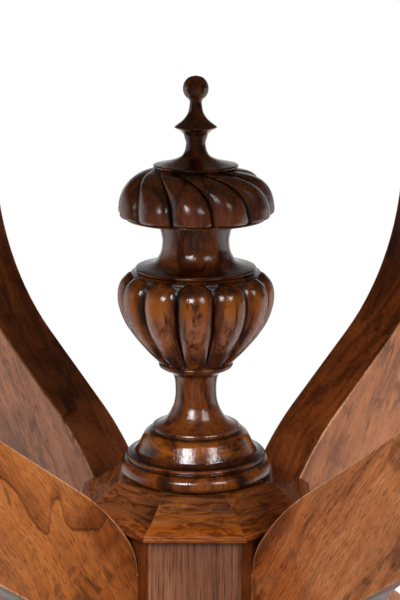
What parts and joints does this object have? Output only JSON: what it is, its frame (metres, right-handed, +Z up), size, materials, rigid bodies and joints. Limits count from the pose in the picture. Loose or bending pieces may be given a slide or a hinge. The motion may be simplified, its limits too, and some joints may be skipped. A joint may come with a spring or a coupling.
{
  "type": "octagonal side table",
  "caption": "Octagonal side table: veneered top on S-curved plank legs joined to an octagonal post, with a gadrooned urn finial on the post's cap.",
  "frame": {"origin": "on the floor under the middle of the table", "axes": "+Z up along the post; the front looks along -Y; the legs stand on the four diagonals"},
  "size_m": [0.66, 0.66, 0.75],
  "materials": {
    "secondary_wood": "satin, unpolished softwood",
    "top_veneer": "french polished walnut veneer",
    "top_crossbanding": "french polished cross-grain walnut veneer",
    "top_moulding": "french polished rosewood moulding",
    "frieze_wood": "french polished walnut",
    "leg_wood": "french polished walnut, diagonal grain",
    "post_facing_wood": "french polished walnut, upright grain",
    "cap_wood": "french polished cross-grain walnut",
    "base_wood": "french polished walnut",
    "finial_wood": "high gloss french polished rosewood",
    "screw_steel": "plain steel"
  },
  "bodies": {
    "root": {"top_core": "secondary_wood", "top_veneer_1": "top_veneer", "top_veneer_2": "top_veneer", "top_veneer_3": "top_veneer", "top_veneer_4": "top_veneer", "top_veneer_5": "top_veneer", "top_veneer_6": "top_veneer", "top_veneer_7": "top_veneer", "top_veneer_8": "top_veneer", "top_crossbanding": "top_crossbanding", "top_moulding_1": "top_moulding", "top_moulding_2": "top_moulding", "top_moulding_3": "top_moulding", "top_moulding_4": "top_moulding", "top_moulding_5": "top_moulding", "top_moulding_6": "top_moulding", "top_moulding_7": "top_moulding", "top_moulding_8": "top_moulding", "frieze_board_1": "frieze_wood", "frieze_board_2": "frieze_wood", "frieze_board_3": "frieze_wood", "frieze_board_4": "frieze_wood", "frieze_board_5": "frieze_wood", "frieze_board_6": "frieze_wood", "frieze_board_7": "frieze_wood", "frieze_board_8": "frieze_wood", "frieze_glue_blocks": "secondary_wood", "bearer_lower": "secondary_wood", "bearer_upper": "secondary_wood", "bearer_screws": "screw_steel", "leg_back_right": "leg_wood", "leg_back_left": "leg_wood", "leg_front_left": "leg_wood", "leg_front_right": "leg_wood", "post_core": "secondary_wood", "post_facing_1": "post_facing_wood", "post_facing_2": "post_facing_wood", "post_facing_3": "post_facing_wood", "post_facing_4": "post_facing_wood", "post_facing_5": "post_facing_wood", "post_facing_6": "post_facing_wood", "post_facing_7": "post_facing_wood", "post_facing_8": "post_facing_wood", "cap_core": "secondary_wood", "cap_moulding_1": "cap_wood", "cap_moulding_2": "cap_wood", "cap_moulding_3": "cap_wood", "cap_moulding_4": "cap_wood", "cap_moulding_5": "cap_wood", "cap_moulding_6": "cap_wood", "cap_moulding_7": "cap_wood", "cap_moulding_8": "cap_wood", "base_plate": "base_wood", "finial_foot": "finial_wood", "finial_bowl": "finial_wood", "finial_neck": "finial_wood", "finial_lid": "finial_wood", "finial_spire": "finial_wood"}
  },
  "joints": []
}
